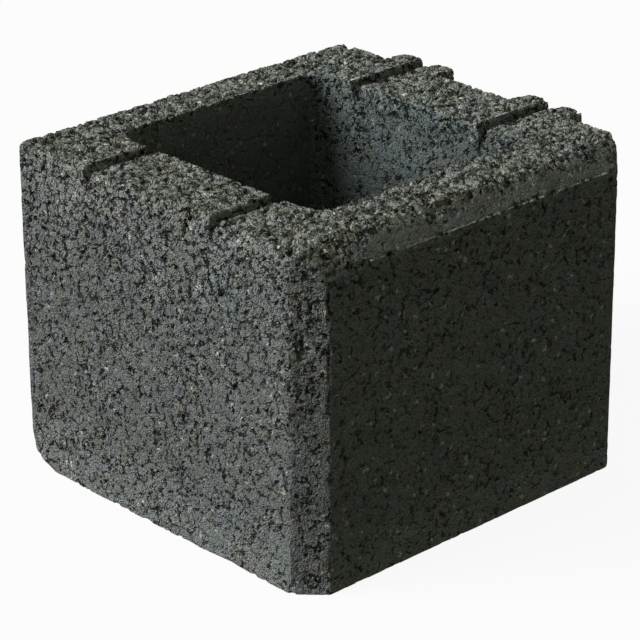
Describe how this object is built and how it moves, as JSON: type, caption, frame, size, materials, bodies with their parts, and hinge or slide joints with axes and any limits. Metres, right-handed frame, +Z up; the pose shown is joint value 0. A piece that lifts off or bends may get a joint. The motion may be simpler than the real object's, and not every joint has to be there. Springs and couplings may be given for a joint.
{
  "type": "hollow concrete pillar block",
  "caption": "Square hollow block in charcoal concrete with chamfered corners, stacked into a pillar or pier around a through cavity.",
  "frame": {"origin": "on the floor, in the middle of the whole footprint with the lugs; the cavity's axis is 8 mm towards -X", "axes": "+Z up as the block stands, X through the two grooved walls with the lugs on the +X face, Y through the two plain walls with the bevelled top edges"},
  "size_m": [0.266, 0.25, 0.198],
  "materials": {
    "concrete": "open dry-cast grain, matte, through-coloured charcoal"
  },
  "bodies": {
    "root": {"pillar_block": "concrete"}
  },
  "joints": []
}
